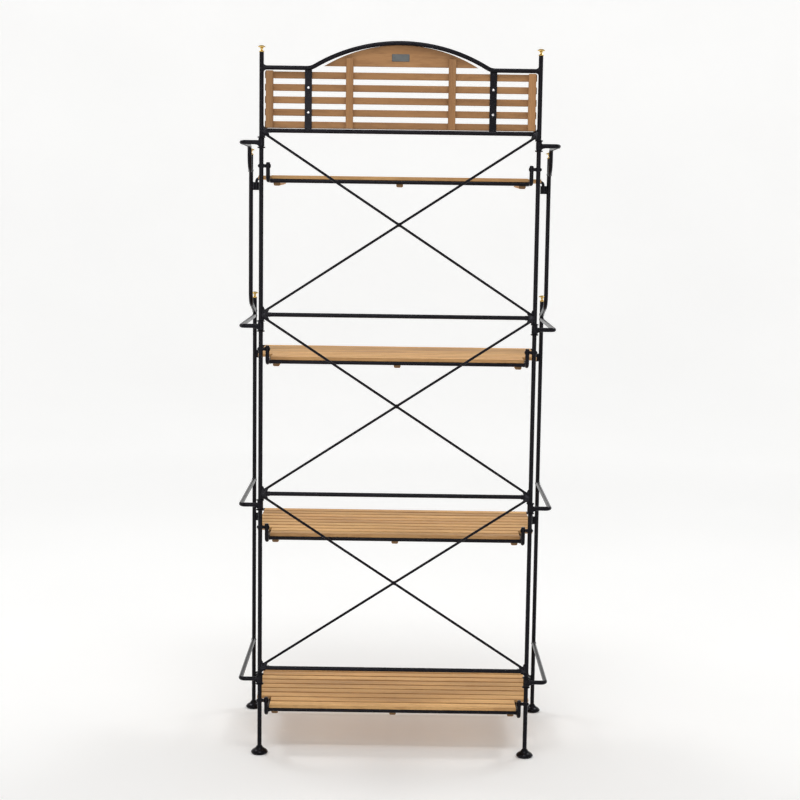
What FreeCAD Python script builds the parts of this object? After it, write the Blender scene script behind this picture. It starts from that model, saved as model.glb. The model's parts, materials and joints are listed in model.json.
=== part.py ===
import FreeCAD, Part
import math
import os

# Folding bakers rack: black iron bar, teak slats, brass finials.
# Origin on the floor under the middle of the rack, +Z up, +X to the right seen from behind,
# +Y from the braced back frame towards the open front.

# Overall layout
post_spacing = 745.0          # between the axes of the two back posts
side_reach = 54.0             # from a back post's axis out to the side arms
lower_depth = 410.0           # from the back posts' axes to the lower front rods
upper_depth = 280.0           # from the back posts' axes to the upper front rods
rail_spacing = 494.0          # between the back rails, and so between the shelves
lowest_rail_height = 246.0
rail_count = 4
crest_height = 166.0          # from the top back rail up to the crest rail
post_above_crest = 40.5

# Bar stock
post_diameter = 12.0
rail_diameter = 11.5
crest_diameter = 11.6
brace_diameter = 7.0
arm_diameter = 11.8
front_rod_diameter = 12.0
shelf_bar_diameter = 11.0
hook_diameter = 8.4
strap_width = 19.0
strap_thickness = 4.0

# Crest arch and its boards
crest_rise = 68.5             # of the arch above the straight ends of the crest rail
crest_bend_span = 480.0       # between the two bends where the arch begins
crest_bend_radius = 40.0
strap_spacing = 494.8
board_thickness = 11.0
crest_slat_height = 17.7
crest_slat_pitch = 32.8
crest_slat_count = 5
crest_slat_lift = 7.6         # from the top back rail's axis to the lowest slat
crest_slat_end_gap = 2.5      # between a slat's end and the post
crest_batten_width = 19.5
crest_batten_thickness = 14.0
crest_batten_insets = (5.8, 219.8)    # from a post's inner side to the end and the inner batten
crest_batten_heights = (150.6, 186.0)
panel_lift = 6.5              # from the crest rail's axis to the panel's lower edge
panel_span = 411.0
panel_tuck = 1.0              # of the panel's top behind the arch
board_chamfer = 1.2

# Strap screws
screw_head_diameter = 7.0
screw_head_height = 2.2
screw_shank_diameter = 3.5
screw_bite = 8.0              # of the shank in the slat
screwed_slats = (1, 3)        # counted from the lowest

# Corner webs of weld metal, and weld beads
brace_offset = 6.5            # from a rail's axis to the brace's axis, at the post's side
web_thickness = 9.0
web_lip = 0.8                 # left on the bar at a web's thin end
web_hollow_share = 0.3        # of both legs, where the hollow side of a web passes
knuckle_rise = 14.0           # of a back rail's web along the post, from the rail's axis
knuckle_reach = 10.0          # of a web along the rail, from the post's side
braced_knuckle_reach = 20.0   # where a brace ends in the corner
crest_web_rise = 11.0
crest_web_reach = 5.0
arm_web_rise = 10.0           # of the web under a side arm, from the arm's axis
arm_web_reach = 7.0
bead_diameter = 12.0          # of the weld bead round the crossing of two braces
bead_core_diameter = 2.4      # left open where the two braces touch

# Turning collars on the posts
collar_diameter = 16.4
collar_height = 21.0
collar_play = 0.25            # between collar and post
collar_drop = 31.5            # from a rail's axis down to the collar's middle
washer_diameter = 21.6
washer_thickness = 5.6        # at the post
washer_edge = 2.4             # thickness at the rim
washer_gap = 0.25             # between a collar's end and its washer

# Side arms and front rods
arm_bend_radius = 13.0
top_arm_drop = 70.0           # from the top arm down to its foot on the upper front rod
top_arm_bend_radius = 15.0
top_arm_straight = 15.0       # between the top arm's two turns
upper_rod_drop = 25.0         # from the top side arm down to the upper rod's top end
upper_rod_bend_radius = 40.0
upper_rod_fall = 36.0         # from the upper rod's bend down to its foot on the lower rod
lower_rod_rise = 53.5         # of the lower rod's top end above the second side arm from the top
arm_end_share = 0.5           # of a front rod's radius, between an arm's end and the rod's axis

# Bell feet
foot_diameter = 47.6
foot_height = 21.5
foot_rim_height = 4.6
foot_base_inset = 3.4
foot_neck_wall = 1.6
foot_socket_depth = 11.0
foot_shoulder_shares = (0.6, 0.42)   # of the flare's width and height, where round turns to hollow
foot_round_shares = (0.85, 0.23)
foot_hollow_shares = (0.25, 0.66)

# Brass finials
finial_height = 18.0
finial_cup_diameter = 20.5
finial_base_diameter = 14.4
finial_neck_diameter = 6.2
finial_base_height_share = 0.1
finial_neck_height_share = 0.43
finial_cup_edge_share = 0.7
finial_lip_share = 0.79
finial_hollow_share = 0.3     # of the base's width and height, where its hollow side passes
finial_stud_diameter = 5.0
finial_stud_length = 9.0
stud_play = 0.1

# Shelf pivots
pin_drop = 94.0               # from a rail's axis down to the shelf pins below it
pin_diameter = 5.0
pin_play = 0.05               # between pin and hanger
pin_shoulder_diameter = 11.4
pin_waist_diameter = 9.0
pin_side_gap = 0.3            # between the hanger and the pin's shoulder or button
pin_head_diameter = 9.8
pin_head_height = 3.6         # of the dome outside the post
pin_button_height = 2.2       # of the dome inside the hanger
hanger_inset = 18.2           # from a post's axis in to the hanger
hanger_rise = 10.0            # of the hanger's top above the pin
hanger_bend_radius = 12.0
hanger_top_chamfer = 1.5

# Shelf frames
side_bar_drop = 38.5          # from the pin down to the side bars and the rear rod
rear_rod_setback = 41.5       # from the posts' axes forward to the rear rod
hook_seat = 0.5               # of the hook rod let into the side bars
hook_bend_radius = 8.0
side_bar_overrun = 4.0        # of the side bars past the hook rod's axis
socket_reach = 16.0           # from a front rod's axis in to the peg socket
socket_wall = 1.8
socket_height = 23.0
socket_play = 1.8             # between peg and socket
socket_drop = 10.5            # from the hook rod's axis down to the socket's top
socket_web_thickness = 6.0
peg_bite = 8.0                # of the peg inside the socket

# Shelf boards
slat_width = 33.0
slat_thickness = 9.0
deep_slat_count = 9
top_slat_count = 6
short_slat_count = 2
long_slat_length = 788.0
short_slat_length = 697.0
slat_rear_lap = 4.5           # of the first slat behind the rear rod's axis
slat_front_gap = 1.5          # between the last slat and the hook rod
batten_width = 18.5
batten_height = 19.0          # at the rear end
batten_front_height = 12.0
batten_chamfer = 4.0
batten_inset = 20.5           # from a side bar's axis in to the outer batten's middle
batten_rear_gap = 0.3         # between the battens and the rear rod
batten_front_setback = 15.0   # of the battens behind the last slat's edge

overrun = 10.0                # of a cutting tool past what it cuts

# Worked out from the sizes above
post_radius = post_diameter / 2
rail_radius = rail_diameter / 2
arm_radius = arm_diameter / 2
front_rod_radius = front_rod_diameter / 2
collar_radius = collar_diameter / 2
crest_radius = crest_diameter / 2
brace_radius = brace_diameter / 2
bar_radius = shelf_bar_diameter / 2
hook_radius = hook_diameter / 2
post_x = post_spacing / 2
arm_x = post_x + side_reach
hanger_x = post_x - hanger_inset
socket_x = arm_x - socket_reach
back_y = -lower_depth / 2
lower_y = back_y + lower_depth
upper_y = back_y + upper_depth
rail_heights = [lowest_rail_height + level * rail_spacing for level in range(rail_count)]
top_rail_height = rail_heights[-1]
crest_z = top_rail_height + crest_height
post_top = crest_z + post_above_crest
arm_heights = [height - collar_drop for height in rail_heights]
pin_heights = [height - pin_drop for height in rail_heights]
board_back_y = back_y + crest_radius
board_front_y = board_back_y + board_thickness
arm_end_gap = front_rod_radius * arm_end_share
upper_rod_foot_z = arm_heights[-2] + arm_radius + front_rod_radius
upper_rod_top = arm_heights[-1] - upper_rod_drop
lower_rod_top = arm_heights[-2] + lower_rod_rise
foot_socket_floor = foot_height - foot_socket_depth
socket_radius = hook_radius + socket_play + socket_wall

sides = {"left": -1, "right": 1}
shelf_names = ["bottom", "third", "second", "top"]
shelf_front_ys = [lower_y, lower_y, lower_y, upper_y]
shelf_slat_counts = [deep_slat_count, deep_slat_count, deep_slat_count, top_slat_count]

x_axis = FreeCAD.Vector(1, 0, 0)
y_axis = FreeCAD.Vector(0, 1, 0)
z_axis = FreeCAD.Vector(0, 0, 1)


def at(x, y, z):
    return FreeCAD.Vector(x, y, z)


def rod(start, end, radius):
    along = end - start
    return Part.makeCylinder(radius, along.Length, start, along)


def bent_rod(corners, bend_radii, radius):
    # A bar through the corners, each corner bent to its own radius.
    edges = []
    start = corners[0]
    for before, corner, after, bend in zip(corners, corners[1:], corners[2:], bend_radii):
        back = (before - corner).normalize()
        ahead = (after - corner).normalize()
        half_turn = (math.pi - back.getAngle(ahead)) / 2
        bisector = (back + ahead).normalize()
        entry = corner + back * (bend * math.tan(half_turn))
        leave = corner + ahead * (bend * math.tan(half_turn))
        middle = corner + bisector * (bend / math.cos(half_turn) - bend)
        edges.append(Part.LineSegment(start, entry).toShape())
        edges.append(Part.Arc(entry, middle, leave).toShape())
        start = leave
    edges.append(Part.LineSegment(start, corners[-1]).toShape())
    return swept_bar(edges, radius)


def swept_bar(edges, radius):
    start = edges[0].valueAt(edges[0].FirstParameter)
    direction = edges[0].tangentAt(edges[0].FirstParameter)
    section = Part.Wire(Part.makeCircle(radius, start, direction))
    return Part.Wire(edges).makePipeShell([section], True, False)


def cut_section(a_low, a_high, b_low, b_high, low_cut, high_cut):
    # A rectangle with its corners cut off by low_cut on the b_low side and high_cut on the b_high side.
    outline = [(a_low + low_cut, b_low), (a_high - low_cut, b_low)]
    outline += [(a_high, b_low + low_cut), (a_high, b_high - high_cut)]
    outline += [(a_high - high_cut, b_high), (a_low + high_cut, b_high)]
    outline += [(a_low, b_high - high_cut), (a_low, b_low + low_cut)]
    return [point for index, point in enumerate(outline) if point != outline[index - 1]]


def prism(points, direction):
    return Part.Face(Part.makePolygon(points + points[:1])).extrude(direction)


def turned(edges, axis_point, axis):
    return Part.Face(Part.Wire(edges)).revolve(axis_point, axis, 360)


def line(a, b):
    return Part.LineSegment(a, b).toShape()


def arc(a, b, c):
    return Part.Arc(a, b, c).toShape()


def group(shapes):
    return Part.makeCompound(list(shapes))


def cut_by_each(shape, tools):
    for tool in tools:
        shape = shape.cut(tool)
    return shape


def dome(base, direction, radius, height):
    # A cap of a ball on a round base.
    ball_radius = (radius ** 2 + height ** 2) / (2 * height)
    half_angle = math.asin(radius / ball_radius) / 2
    side = at(ball_radius * math.sin(half_angle), 0, height - ball_radius * (1 - math.cos(half_angle)))
    edges = [line(at(0, 0, 0), at(radius, 0, 0)),
             arc(at(radius, 0, 0), side, at(0, 0, height)),
             line(at(0, 0, height), at(0, 0, 0))]
    cap = turned(edges, at(0, 0, 0), z_axis)
    cap.Placement = FreeCAD.Placement(base, FreeCAD.Rotation(z_axis, direction))
    return cap


def corner_web(corner, out, way, upright_radius, bar_radius, rise, reach):
    # Weld metal in the corner of an upright and a level bar, hollow on its open side.
    def place(along, up):
        return corner + at(out * along, -web_thickness / 2, way * up)

    tip_up = bar_radius + web_lip
    tip_along = upright_radius + reach
    hollow = place(upright_radius + reach * web_hollow_share, tip_up + (rise - tip_up) * web_hollow_share)
    edges = [line(place(0, 0), place(0, rise)),
             line(place(0, rise), place(upright_radius, rise)),
             arc(place(upright_radius, rise), hollow, place(tip_along, tip_up)),
             line(place(tip_along, tip_up), place(tip_along, 0)),
             line(place(tip_along, 0), place(0, 0))]
    return Part.Face(Part.Wire(edges)).extrude(y_axis * web_thickness)


def foot(x, y, rod_radius):
    # A bell foot: flat base, rounded rim and a flare that is round below and hollow above.
    rim = foot_diameter / 2
    base = rim - foot_base_inset
    neck = rod_radius + foot_neck_wall

    def flare(shares):
        width, height = shares
        return at(neck + (rim - neck) * width, 0, foot_rim_height + (foot_height - foot_rim_height) * height)

    shoulder = flare(foot_shoulder_shares)
    rim_point = at(rim, 0, foot_rim_height)
    neck_point = at(neck, 0, foot_height)
    edges = [line(at(0, 0, 0), at(base, 0, 0)),
             line(at(base, 0, 0), rim_point),
             arc(rim_point, flare(foot_round_shares), shoulder),
             arc(shoulder, flare(foot_hollow_shares), neck_point),
             line(neck_point, at(rod_radius, 0, foot_height)),
             line(at(rod_radius, 0, foot_height), at(rod_radius, 0, foot_socket_floor)),
             line(at(rod_radius, 0, foot_socket_floor), at(0, 0, foot_socket_floor)),
             line(at(0, 0, foot_socket_floor), at(0, 0, 0))]
    bell = turned(edges, at(0, 0, 0), z_axis)
    bell.translate(at(x, y, 0))
    return bell


def finial(x, y, z):
    # A turned brass knob: hollow-sided base, neck and a flared cup with a low dome, on a stud.
    cup = finial_cup_diameter / 2
    base = finial_base_diameter / 2
    neck = finial_neck_diameter / 2
    stud = finial_stud_diameter / 2
    base_top = finial_height * finial_base_height_share
    neck_z = finial_height * finial_neck_height_share
    cup_edge = finial_height * finial_cup_edge_share
    lip_top = finial_height * finial_lip_share
    base_side = at(neck + (base - neck) * finial_hollow_share, 0,
                   base_top + (neck_z - base_top) * finial_hollow_share)
    cup_side = at(neck + (cup - neck) * finial_hollow_share, 0,
                  cup_edge - (cup_edge - neck_z) * finial_hollow_share)
    edges = [line(at(0, 0, -finial_stud_length), at(stud, 0, -finial_stud_length)),
             line(at(stud, 0, -finial_stud_length), at(stud, 0, 0)),
             line(at(stud, 0, 0), at(base, 0, 0)),
             line(at(base, 0, 0), at(base, 0, base_top)),
             arc(at(base, 0, base_top), base_side, at(neck, 0, neck_z)),
             arc(at(neck, 0, neck_z), cup_side, at(cup, 0, cup_edge)),
             line(at(cup, 0, cup_edge), at(cup, 0, lip_top)),
             line(at(cup, 0, lip_top), at(0, 0, lip_top)),
             line(at(0, 0, lip_top), at(0, 0, -finial_stud_length))]
    knob = turned(edges, at(0, 0, 0), z_axis)
    knob = knob.fuse(dome(at(0, 0, lip_top), z_axis, cup, finial_height - lip_top)).removeSplitter()
    knob.translate(at(x, y, z))
    return knob


def upright(x, y, top, radius):
    # A straight bar standing in its foot, drilled at the top for the finial's stud.
    bar = rod(at(x, y, foot_socket_floor), at(x, y, top), radius)
    return bar.cut(stud_hole(x, y, top))


def stud_hole(x, y, top):
    bottom = top - finial_stud_length - stud_play
    return rod(at(x, y, bottom), at(x, y, top + overrun), finial_stud_diameter / 2 + stud_play)


def post_bar(side):
    return rod(at(side * post_x, back_y, 0), at(side * post_x, back_y, post_top), post_radius)


def back_post(side):
    post = upright(side * post_x, back_y, post_top, post_radius)
    for height in pin_heights:
        middle = at(side * post_x, back_y, height)
        reach = x_axis * (post_radius + overrun)
        post = post.cut(rod(middle - reach, middle + reach, pin_diameter / 2))
    return post


def without_posts(shape):
    return shape.cut([post_bar(side) for side in sides.values()])


def rail_bar(height):
    return rod(at(-post_x, back_y, height), at(post_x, back_y, height), rail_radius)


def crest_arch():
    # The straight ends run into the arch through a small reverse bend.
    half_span = crest_bend_span / 2
    arch_radius = (half_span ** 2 + crest_rise ** 2) / (2 * crest_rise)
    arch_middle_z = crest_z + crest_rise - arch_radius
    bend_z = crest_z + crest_bend_radius
    bend_x = math.sqrt((arch_radius + crest_bend_radius) ** 2 - (bend_z - arch_middle_z) ** 2)
    lean = math.atan2(bend_x, bend_z - arch_middle_z)
    meet = at(arch_radius * math.sin(lean), 0, arch_middle_z + arch_radius * math.cos(lean))
    half_bend = at(bend_x - crest_bend_radius * math.sin(lean / 2), 0,
                   bend_z - crest_bend_radius * math.cos(lean / 2))
    apex = at(0, back_y, crest_z + crest_rise)

    def mirrored(point, side):
        return at(side * point.x, back_y, point.z)

    straight = at(bend_x, 0, crest_z)
    end = at(post_x, 0, crest_z)
    edges = [line(mirrored(end, -1), mirrored(straight, -1)),
             arc(mirrored(straight, -1), mirrored(half_bend, -1), mirrored(meet, -1)),
             arc(mirrored(meet, -1), apex, mirrored(meet, 1)),
             arc(mirrored(meet, 1), mirrored(half_bend, 1), mirrored(straight, 1)),
             line(mirrored(straight, 1), mirrored(end, 1))]
    return swept_bar(edges, crest_radius)


def crest_rail():
    webs = [corner_web(at(side * post_x, back_y, crest_z), -side, way, post_radius, crest_radius,
                       crest_web_rise, crest_web_reach) for side in sides.values() for way in (-1, 1)]
    return without_posts(crest_arch().fuse(webs)).removeSplitter()


def brace(lower_height, lean):
    # One diagonal of a bay; the two of a pair lie one behind the other and touch where they cross.
    y = back_y + lean * brace_radius
    end_x = lean * (post_x - post_radius)
    low = lower_height + brace_offset
    high = lower_height + rail_spacing - brace_offset
    return rod(at(-end_x, y, low), at(end_x, y, high), brace_radius)


def brace_pair(lower_height):
    bars = [rail_bar(lower_height), rail_bar(lower_height + rail_spacing)]
    bars += [post_bar(side) for side in sides.values()]
    return [cut_by_each(bar, bars) for bar in brace_rods(lower_height)]


def brace_rods(lower_height):
    return [brace(lower_height, lean) for lean in (-1, 1)]


def bay_braces():
    return [bar for height in rail_heights[:-1] for bar in brace_rods(height)]


def knuckles(side, level):
    # The webs above and below the end of a back rail; a braced corner has the longer web.
    height = rail_heights[level]
    for way in (-1, 1):
        braced = level + way in range(rail_count)
        reach = braced_knuckle_reach if braced else knuckle_reach
        web = corner_web(at(side * post_x, back_y, height), -side, way, post_radius, rail_radius,
                         knuckle_rise, reach)
        yield cut_by_each(web, [post_bar(side), rail_bar(height)] + bay_braces())


def weld_bead(lower_height):
    # A ball of weld metal, all but the braces that pass through it.
    middle = at(0, back_y, lower_height + rail_spacing / 2)
    reach = y_axis * bead_diameter
    core = rod(middle - reach, middle + reach, bead_core_diameter / 2)
    ball = Part.makeSphere(bead_diameter / 2, middle, y_axis)
    return cut_by_each(ball, [core] + brace_rods(lower_height))


def crest_slat_low(index):
    return top_rail_height + crest_slat_lift + index * crest_slat_pitch


def strap_screw_places():
    for side in sides.values():
        for index in screwed_slats:
            yield side * strap_spacing / 2, crest_slat_low(index) + crest_slat_height / 2


def screw_shank(x, z):
    start = at(x, board_back_y - strap_thickness, z)
    return rod(start, start + y_axis * (strap_thickness + screw_bite), screw_shank_diameter / 2)


def strap_screw(x, z):
    radius = screw_head_diameter / 2
    dome_radius = (radius ** 2 + screw_head_height ** 2) / (2 * screw_head_height)
    face_y = board_back_y - strap_thickness
    ball = Part.makeSphere(dome_radius, at(x, face_y - screw_head_height + dome_radius, z))
    half_space = Part.makeBox(dome_radius * 2, dome_radius, dome_radius * 2,
                              at(x - dome_radius, face_y - dome_radius, z - dome_radius))
    return ball.common(half_space).fuse(screw_shank(x, z)).removeSplitter()


def strap(side):
    middle = side * strap_spacing / 2
    outline = cut_section(middle - strap_width / 2, middle + strap_width / 2, top_rail_height, crest_z, 0, 0)
    points = [at(x, board_back_y - strap_thickness, z) for x, z in outline]
    bar = prism(points, y_axis * strap_thickness)
    holes = [screw_shank(x, z) for x, z in strap_screw_places() if x == middle]
    return bar.cut([rail_bar(top_rail_height), crest_arch()] + holes)


def crest_slat(index):
    low = crest_slat_low(index)
    half = post_x - post_radius - crest_slat_end_gap
    outline = cut_section(board_back_y, board_front_y, low, low + crest_slat_height,
                          board_chamfer, board_chamfer)
    slat = prism([at(-half, y, z) for y, z in outline], x_axis * (2 * half))
    if index in screwed_slats:
        slat = slat.cut([screw_shank(x, z) for x, z in strap_screw_places()])
    return slat


def crest_batten(side, inset, height):
    middle = side * (post_x - post_radius - inset - crest_batten_width / 2)
    low = crest_slat_low(0)
    outline = cut_section(middle - crest_batten_width / 2, middle + crest_batten_width / 2,
                          board_back_y - crest_batten_thickness, board_back_y, board_chamfer * 2, 0)
    return prism([at(x, y, low) for x, y in outline], z_axis * height)


def crest_panel():
    low = crest_z + panel_lift
    high = crest_z + crest_rise - crest_radius + panel_tuck
    left = at(-panel_span / 2, board_back_y, low)
    right = at(panel_span / 2, board_back_y, low)
    edges = [arc(left, at(0, board_back_y, high), right), line(right, left)]
    return Part.Face(Part.Wire(edges)).extrude(y_axis * board_thickness)


def collar_bar(side, height):
    low = at(side * post_x, back_y, height - collar_height / 2)
    return rod(low, low + z_axis * collar_height, collar_radius)


def turning_collar(side, height):
    low = at(side * post_x, back_y, height - collar_height / 2)
    bore = rod(low - z_axis * overrun, low + z_axis * (collar_height + overrun), post_radius + collar_play)
    return collar_bar(side, height).cut(bore)


def keeper_washers(side, height):
    # Rings on the post, thick at the root and thin at the rim.
    rim = washer_diameter / 2
    outline = [at(post_radius, 0, -washer_thickness / 2), at(rim, 0, -washer_edge / 2),
               at(rim, 0, washer_edge / 2), at(post_radius, 0, washer_thickness / 2)]
    for end in (-1, 1):
        middle = height + end * (collar_height / 2 + washer_gap + washer_thickness / 2)
        ring = turned([line(a, b) for a, b in zip(outline, outline[1:] + outline[:1])], at(0, 0, 0), z_axis)
        ring.translate(at(side * post_x, back_y, middle))
        yield ring


def lower_rod_bar(side):
    return rod(at(side * arm_x, lower_y, 0), at(side * arm_x, lower_y, lower_rod_top), front_rod_radius)


def upper_rod_bar(side):
    x = side * arm_x
    return rod(at(x, upper_y, upper_rod_foot_z), at(x, upper_y, upper_rod_top), front_rod_radius)


def upper_rod(side):
    # Stands behind the lower rod, bends forward and falls gently to it just above a side arm.
    x = side * arm_x
    corners = [at(x, upper_y, upper_rod_top), at(x, upper_y, upper_rod_foot_z + upper_rod_fall),
               at(x, lower_y, upper_rod_foot_z)]
    bar = bent_rod(corners, [upper_rod_bend_radius], front_rod_radius)
    return bar.cut([lower_rod_bar(side), stud_hole(x, upper_y, upper_rod_top)])


def arm_web(side, height):
    return corner_web(at(side * post_x, back_y, height), side, -1, collar_radius, arm_radius,
                      arm_web_rise, arm_web_reach)


def side_arm(side, height):
    x = side * arm_x
    corners = [at(side * post_x, back_y, height), at(x, back_y, height), at(x, lower_y - arm_end_gap, height)]
    bar = bent_rod(corners, [arm_bend_radius], arm_radius).fuse(arm_web(side, height))
    return bar.cut([collar_bar(side, height), lower_rod_bar(side)]).removeSplitter()


def top_arm(side):
    # Runs forward, turns down and sweeps forward again into the upper rod.
    height = arm_heights[-1]
    foot_z = height - top_arm_drop
    sweep = top_arm_drop - top_arm_bend_radius - top_arm_straight
    turn_y = upper_y - sweep - front_rod_radius
    x = side * arm_x
    corners = [at(side * post_x, back_y, height), at(x, back_y, height), at(x, turn_y, height),
               at(x, turn_y, foot_z), at(x, upper_y - arm_end_gap, foot_z)]
    bar = bent_rod(corners, [arm_bend_radius, top_arm_bend_radius, sweep], arm_radius)
    bar = bar.fuse(arm_web(side, height))
    return bar.cut([collar_bar(side, height), upper_rod_bar(side)]).removeSplitter()


def hook_height(pin_height):
    return pin_height - side_bar_drop + bar_radius + hook_radius - hook_seat


def peg_socket(side, pin_height, y, front_rod):
    # A lug webbed to the front rod; the shelf's peg stands on the floor of its blind socket.
    top = hook_height(pin_height) - socket_drop
    low = at(side * socket_x, y, top - socket_height)
    lug = rod(low, low + z_axis * socket_height, socket_radius)
    web_low = min(side * socket_x, side * arm_x)
    web = Part.makeBox(socket_reach, socket_web_thickness, socket_height,
                       at(web_low, y - socket_web_thickness / 2, low.z))
    floor = at(side * socket_x, y, top - peg_bite)
    bore = rod(floor, floor + z_axis * (peg_bite + overrun), socket_radius - socket_wall)
    return lug.fuse(web).cut([bore, front_rod]).removeSplitter()


def peg_sockets():
    for pin_height, y in zip(pin_heights, shelf_front_ys):
        for side in sides.values():
            bar = upper_rod_bar(side) if y == upper_y else lower_rod_bar(side)
            yield peg_socket(side, pin_height, y, bar)


def pivot_pin(side, height):
    # Domed head outside the post, waisted shoulder between post and hanger, domed button inside the hanger.
    def along(x):
        return at(side * x, back_y, height)

    def profile(x, radius):
        return along(x) + z_axis * radius

    hanger_outer = hanger_x + bar_radius + pin_side_gap
    hanger_inner = hanger_x - bar_radius - pin_side_gap
    post_inner = post_x - post_radius
    thick = pin_shoulder_diameter / 2
    waist = profile((hanger_outer + post_inner) / 2, pin_waist_diameter / 2)
    edges = [line(along(hanger_outer), profile(hanger_outer, thick)),
             arc(profile(hanger_outer, thick), waist, profile(post_inner, thick)),
             line(profile(post_inner, thick), profile(post_x, thick)),
             line(profile(post_x, thick), along(post_x)),
             line(along(post_x), along(hanger_outer))]
    shoulder = turned(edges, along(0), x_axis).cut(post_bar(side))
    head_base = rod(along(post_x), along(post_x + post_radius), pin_head_diameter / 2).cut(post_bar(side))
    head = dome(along(post_x + post_radius), x_axis * side, pin_head_diameter / 2, pin_head_height)
    button = dome(along(hanger_inner), x_axis * -side, thick, pin_button_height)
    shank = rod(along(hanger_inner), along(post_x + post_radius), pin_diameter / 2)
    return shank.fuse([shoulder, head_base, head, button]).removeSplitter()


def side_bar_bar(side, pin_height, front_y):
    x = side * hanger_x
    bar_z = pin_height - side_bar_drop
    neck = at(x, back_y, pin_height + hanger_rise - hanger_top_chamfer)
    corners = [neck, at(x, back_y, bar_z), at(x, front_y + side_bar_overrun, bar_z)]
    tip = Part.makeCone(bar_radius, bar_radius - hanger_top_chamfer, hanger_top_chamfer, neck)
    return bent_rod(corners, [hanger_bend_radius], bar_radius).fuse(tip)


def hook_rod(pin_height, front_y):
    # The front rod of a shelf, its ends turned down as pegs.
    high = hook_height(pin_height)
    low = high - socket_drop - peg_bite
    corners = [at(-socket_x, front_y, low), at(-socket_x, front_y, high),
               at(socket_x, front_y, high), at(socket_x, front_y, low)]
    return bent_rod(corners, [hook_bend_radius, hook_bend_radius], hook_radius)


def side_bar(side, pin_height, front_y):
    # Carries the slats; its rear end turns up into the hanger with the eye for the pin.
    x = side * hanger_x
    bar = side_bar_bar(side, pin_height, front_y)
    middle = at(x, back_y, pin_height)
    reach = x_axis * (bar_radius + overrun)
    pin_hole = rod(middle - reach, middle + reach, pin_diameter / 2 + pin_play)
    return bar.cut([pin_hole, hook_rod(pin_height, front_y)])


def rear_rod(pin_height, front_y):
    y = back_y + rear_rod_setback
    z = pin_height - side_bar_drop
    bar = rod(at(-hanger_x, y, z), at(hanger_x, y, z), bar_radius)
    return bar.cut([side_bar_bar(side, pin_height, front_y) for side in sides.values()])


def slat_edges(front_y, count):
    # Rear and front edge of every slat, evenly spread between the rear rod and the hook rod.
    first = back_y + rear_rod_setback - slat_rear_lap
    last = front_y - hook_radius - slat_front_gap - slat_width
    pitch = (last - first) / (count - 1)
    return [(first + index * pitch, first + index * pitch + slat_width) for index in range(count)]


def shelf_slats(pin_height, front_y, count):
    low = pin_height - side_bar_drop + bar_radius
    for index, (rear, front) in enumerate(slat_edges(front_y, count)):
        length = short_slat_length if index < short_slat_count else long_slat_length
        outline = cut_section(rear, front, low, low + slat_thickness, board_chamfer, board_chamfer)
        yield prism([at(-length / 2, y, z) for y, z in outline], x_axis * length)


def shelf_battens(pin_height, front_y, count):
    # Deepest at the rear rod, tapering to the front.
    high = pin_height - side_bar_drop + bar_radius
    rear = back_y + rear_rod_setback + bar_radius + batten_rear_gap
    front = slat_edges(front_y, count)[-1][1] - batten_front_setback
    outer = hanger_x - batten_inset
    for middle in (-outer, 0, outer):
        ends = []
        for y, height in ((rear, batten_height), (front, batten_front_height)):
            outline = cut_section(middle - batten_width / 2, middle + batten_width / 2,
                                  high - height, high, batten_chamfer, 0)
            points = [at(x, y, z) for x, z in outline]
            ends.append(Part.makePolygon(points + points[:1]))
        yield Part.makeLoft(ends, True, True)


def shelf_nodes(name, pin_height, front_y, count):
    return {name + "_shelf_slats": group(shelf_slats(pin_height, front_y, count)),
            name + "_shelf_battens": group(shelf_battens(pin_height, front_y, count)),
            name + "_shelf_rear_rod": rear_rod(pin_height, front_y),
            name + "_shelf_hook_rod": hook_rod(pin_height, front_y),
            name + "_shelf_side_bars": group(side_bar(side, pin_height, front_y) for side in sides.values())}


def back_frame_nodes():
    nodes = {"back_post_" + name: back_post(side) for name, side in sides.items()}
    nodes["crest_rail"] = crest_rail()
    rail_names = ["back_rail_lower", "back_rail_middle", "back_rail_upper", "crest_lower_rail"]
    for name, height in zip(rail_names, rail_heights):
        nodes[name] = without_posts(rail_bar(height))
    for name, height in zip(["lower", "middle", "upper"], rail_heights):
        nodes["brace_rods_" + name] = group(brace_pair(height))
    nodes["corner_knuckles"] = group(web for level in range(rail_count) for side in sides.values()
                                     for web in knuckles(side, level))
    nodes["brace_weld_beads"] = group(weld_bead(height) for height in rail_heights[:-1])
    nodes["collar_washers"] = group(washer for height in arm_heights for side in sides.values()
                                    for washer in keeper_washers(side, height))
    nodes["shelf_pivot_pins"] = group(pivot_pin(side, height) for height in pin_heights
                                      for side in sides.values())
    return nodes


def crest_nodes():
    nodes = {"crest_strap_" + name: strap(side) for name, side in sides.items()}
    nodes["strap_screws"] = group(strap_screw(x, z) for x, z in strap_screw_places())
    nodes["crest_slats"] = group(crest_slat(index) for index in range(crest_slat_count))
    nodes["crest_battens"] = group(crest_batten(side, inset, height) for side in sides.values()
                                   for inset, height in zip(crest_batten_insets, crest_batten_heights))
    nodes["crest_panel"] = crest_panel()
    return nodes


def side_frame_nodes():
    nodes = {"peg_sockets": group(peg_sockets())}
    nodes["turning_collars"] = group(turning_collar(side, height) for height in arm_heights
                                     for side in sides.values())
    for name, side in sides.items():
        nodes["lower_front_rod_" + name] = upright(side * arm_x, lower_y, lower_rod_top, front_rod_radius)
        nodes["upper_front_rod_" + name] = upper_rod(side)
        for level, height in zip(shelf_names[:-1], arm_heights):
            nodes[level + "_arm_" + name] = side_arm(side, height)
        nodes["top_arm_" + name] = top_arm(side)
    return nodes


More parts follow.
